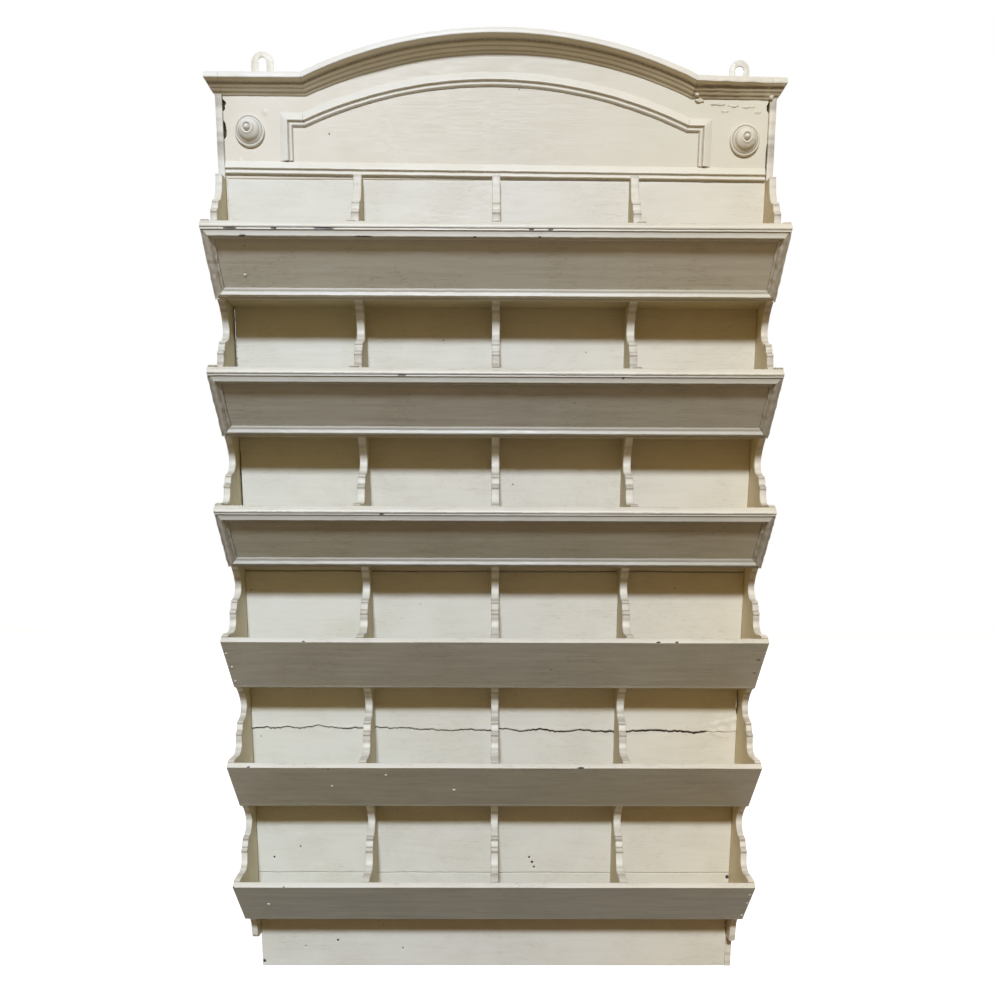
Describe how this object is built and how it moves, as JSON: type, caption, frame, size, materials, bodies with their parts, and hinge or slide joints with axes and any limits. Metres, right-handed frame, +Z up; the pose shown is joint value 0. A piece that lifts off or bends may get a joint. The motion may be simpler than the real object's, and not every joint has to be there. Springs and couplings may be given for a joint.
{
  "type": "wall shelf",
  "caption": "Painted wooden wall rack: rows of open bins behind leaning front boards, scrolled sides and dividers, arched frieze with cornice, turned rosettes and hanging plates.",
  "frame": {"origin": "on the wall plane, midway between the slots of the two hanging plates", "axes": "+Z up, +Y into the wall, +X to the right of a person who faces the rack"},
  "size_m": [0.882, 0.146, 1.5035],
  "materials": {
    "painted_wood": "brushed cream paint on pine",
    "painted_moulding": "brushed cream paint on pine",
    "painted_plate": "cream paint, worn",
    "screw_steel": "dull"
  },
  "bodies": {
    "root": {"side_left": "painted_wood", "side_right": "painted_wood", "back_board_1": "painted_wood", "back_board_2": "painted_wood", "back_board_3": "painted_wood", "back_board_4": "painted_wood", "back_board_5": "painted_wood", "back_board_6": "painted_wood", "shelf_row1": "painted_wood", "shelf_row2": "painted_wood", "shelf_row3": "painted_wood", "shelf_row4": "painted_wood", "shelf_row5": "painted_wood", "shelf_row6": "painted_wood", "front_board_row1": "painted_wood", "front_board_row2": "painted_wood", "front_board_row3": "painted_wood", "front_board_row4": "painted_wood", "front_board_row5": "painted_wood", "front_board_row6": "painted_wood", "divider_row1_1": "painted_wood", "divider_row1_2": "painted_wood", "divider_row1_3": "painted_wood", "divider_row2_1": "painted_wood", "divider_row2_2": "painted_wood", "divider_row2_3": "painted_wood", "divider_row3_1": "painted_wood", "divider_row3_2": "painted_wood", "divider_row3_3": "painted_wood", "divider_row4_1": "painted_wood", "divider_row4_2": "painted_wood", "divider_row4_3": "painted_wood", "divider_row5_1": "painted_wood", "divider_row5_2": "painted_wood", "divider_row5_3": "painted_wood", "divider_row6_1": "painted_wood", "divider_row6_2": "painted_wood", "divider_row6_3": "painted_wood", "frieze_board": "painted_wood", "front_frame_row1": "painted_moulding", "front_frame_row2": "painted_moulding", "front_frame_row3": "painted_moulding", "frieze_bead": "painted_moulding", "panel_moulding_left": "painted_moulding", "panel_moulding_arch": "painted_moulding", "panel_moulding_right": "painted_moulding", "cornice_left": "painted_moulding", "cornice_arch": "painted_moulding", "cornice_right": "painted_moulding", "cornice_return_left": "painted_moulding", "cornice_return_right": "painted_moulding", "rosette_left": "painted_moulding", "rosette_right": "painted_moulding", "hanging_plate_left": "painted_plate", "hanging_plate_right": "painted_plate", "plate_screw_left_1": "screw_steel", "plate_screw_left_2": "screw_steel", "plate_screw_right_1": "screw_steel", "plate_screw_right_2": "screw_steel"}
  },
  "joints": []
}
